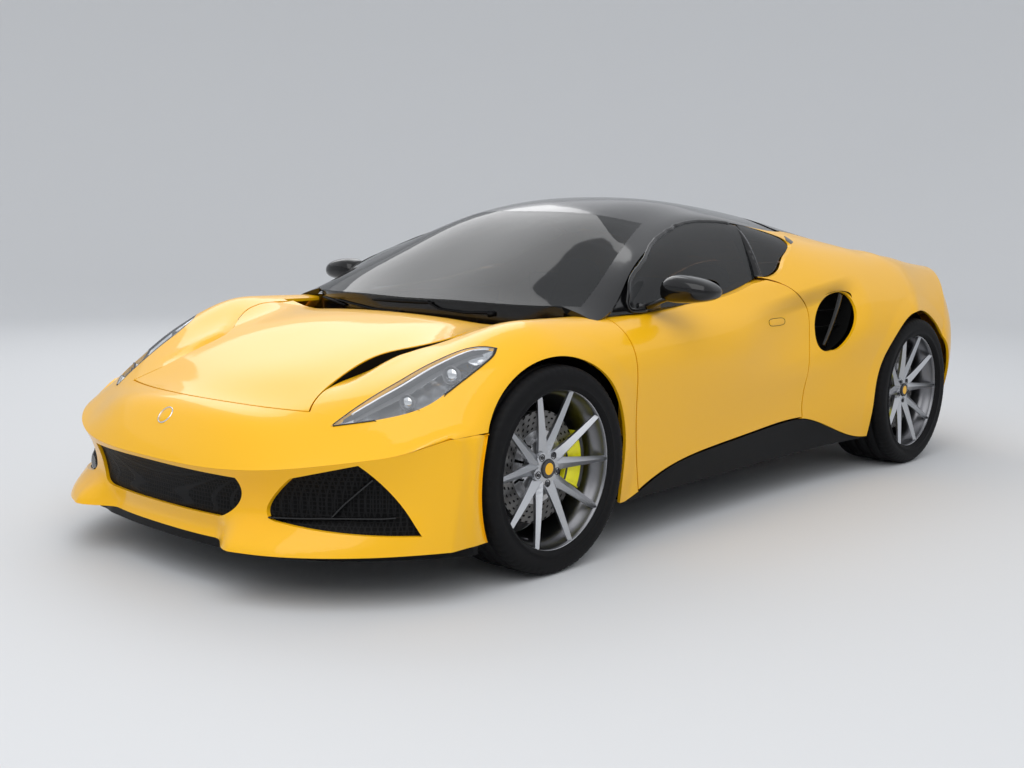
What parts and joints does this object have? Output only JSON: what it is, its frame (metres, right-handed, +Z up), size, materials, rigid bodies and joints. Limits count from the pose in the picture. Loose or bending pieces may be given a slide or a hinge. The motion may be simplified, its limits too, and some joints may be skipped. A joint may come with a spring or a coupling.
{
  "type": "two-seat mid-engined coupe car",
  "caption": "Two-seat mid-engined coupe with hinged doors, hood and rear lid, steered front wheels and rolling wheels.",
  "frame": {"origin": "on the ground under the middle of the body", "axes": "+Z up, +X to the car's left, the nose points to -Y"},
  "size_m": [2.092, 4.4165, 1.2265],
  "materials": {
    "body_paint": "gloss",
    "gloss_black": "gloss",
    "chassis_black": "matte",
    "mesh_black": "matte",
    "seat_trim": "satin",
    "glass": "polished",
    "lamp": "polished",
    "lamp_red": "gloss",
    "exhaust_metal": "polished",
    "tyre": "matte",
    "rim_silver": "satin",
    "disc_iron": "satin",
    "carrier_iron": "satin"
  },
  "bodies": {
    "body": {"arch_liners": "chassis_black", "chassis": "chassis_black", "cowl": "mesh_black", "dashboard": "chassis_black", "diffuser": "gloss_black", "engine": "chassis_black", "exhaust_tips": "exhaust_metal", "front_bumper": "body_paint", "front_fender_left": "body_paint", "front_fender_right": "body_paint", "front_grilles": "mesh_black", "front_splitter": "gloss_black", "headlamps": "lamp", "nose_panel": "body_paint", "quarter_windows": "glass", "rear_body": "body_paint", "rear_bumper": "body_paint", "roof": "gloss_black", "seats": "seat_trim", "side_skirts": "gloss_black", "suspension_arms": "chassis_black", "tail_lamps": "lamp_red", "upright_rear_left": "carrier_iron", "upright_rear_right": "carrier_iron", "windscreen": "glass", "wipers": "mesh_black"},
    "door_left": {"door_left": "body_paint", "door_glass_left": "glass", "mirror_left": "gloss_black"},
    "door_right": {"door_right": "body_paint", "door_glass_right": "glass", "mirror_right": "gloss_black"},
    "hood": {"hood": "body_paint"},
    "rear_lid": {"rear_lid": "gloss_black", "rear_window": "glass"},
    "steering_wheel": {"steering_wheel": "mesh_black"},
    "knuckle_left": {"upright_front_left": "carrier_iron"},
    "wheel_front_left": {"tyre_front_left": "tyre", "rim_front_left": "rim_silver", "disc_front_left": "disc_iron"},
    "wheel_rear_left": {"tyre_rear_left": "tyre", "rim_rear_left": "rim_silver", "disc_rear_left": "disc_iron"},
    "knuckle_right": {"upright_front_right": "carrier_iron"},
    "wheel_front_right": {"tyre_front_right": "tyre", "rim_front_right": "rim_silver", "disc_front_right": "disc_iron"},
    "wheel_rear_right": {"tyre_rear_right": "tyre", "rim_rear_right": "rim_silver", "disc_rear_right": "disc_iron"}
  },
  "joints": [
    {"name": "door_left_hinge", "type": "hinge", "parent": "body", "child": "door_left", "pos_m": [0.88, -0.79947, 0.5], "axis": [0, 0, -1], "range_deg": [0, 65]},
    {"name": "door_right_hinge", "type": "hinge", "parent": "body", "child": "door_right", "pos_m": [-0.88, -0.79947, 0.5], "axis": [0, 0, 1], "range_deg": [0, 65]},
    {"name": "hood_hinge", "type": "hinge", "parent": "body", "child": "hood", "pos_m": [0, -1.1401, 0.76183], "axis": [-1, 0, 0], "range_deg": [0, 50]},
    {"name": "rear_lid_hinge", "type": "hinge", "parent": "body", "child": "rear_lid", "pos_m": [0, 0.62163, 1.15513], "axis": [1, 0, 0], "range_deg": [0, 40]},
    {"name": "steer_left", "type": "hinge", "parent": "body", "child": "knuckle_left", "pos_m": [0.73, -1.281, 0.34], "axis": [0, 0, 1], "range_deg": [-32, 32]},
    {"name": "steer_right", "type": "hinge", "parent": "body", "child": "knuckle_right", "pos_m": [-0.73, -1.281, 0.34], "axis": [0, 0, 1], "range_deg": [-32, 32]},
    {"name": "steering_column", "type": "hinge", "parent": "body", "child": "steering_wheel", "pos_m": [0.36, -0.4055, 0.69882], "axis": [0, 0.9135, 0.4067], "range_deg": [-448, 448]},
    {"name": "wheel_front_left_spin", "type": "hinge", "parent": "knuckle_left", "child": "wheel_front_left", "pos_m": [0.81, -1.281, 0.34], "axis": [1, 0, 0], "continuous": true},
    {"name": "wheel_front_right_spin", "type": "hinge", "parent": "knuckle_right", "child": "wheel_front_right", "pos_m": [-0.81, -1.281, 0.34], "axis": [1, 0, 0], "continuous": true},
    {"name": "wheel_rear_left_spin", "type": "hinge", "parent": "body", "child": "wheel_rear_left", "pos_m": [0.797, 1.294, 0.343], "axis": [1, 0, 0], "continuous": true},
    {"name": "wheel_rear_right_spin", "type": "hinge", "parent": "body", "child": "wheel_rear_right", "pos_m": [-0.797, 1.294, 0.343], "axis": [1, 0, 0], "continuous": true}
  ],
  "couplings": [
    {"joint": "steer_right", "follows": "steer_left", "ratio": 1},
    {"joint": "steering_column", "follows": "steer_left", "ratio": 14}
  ]
}
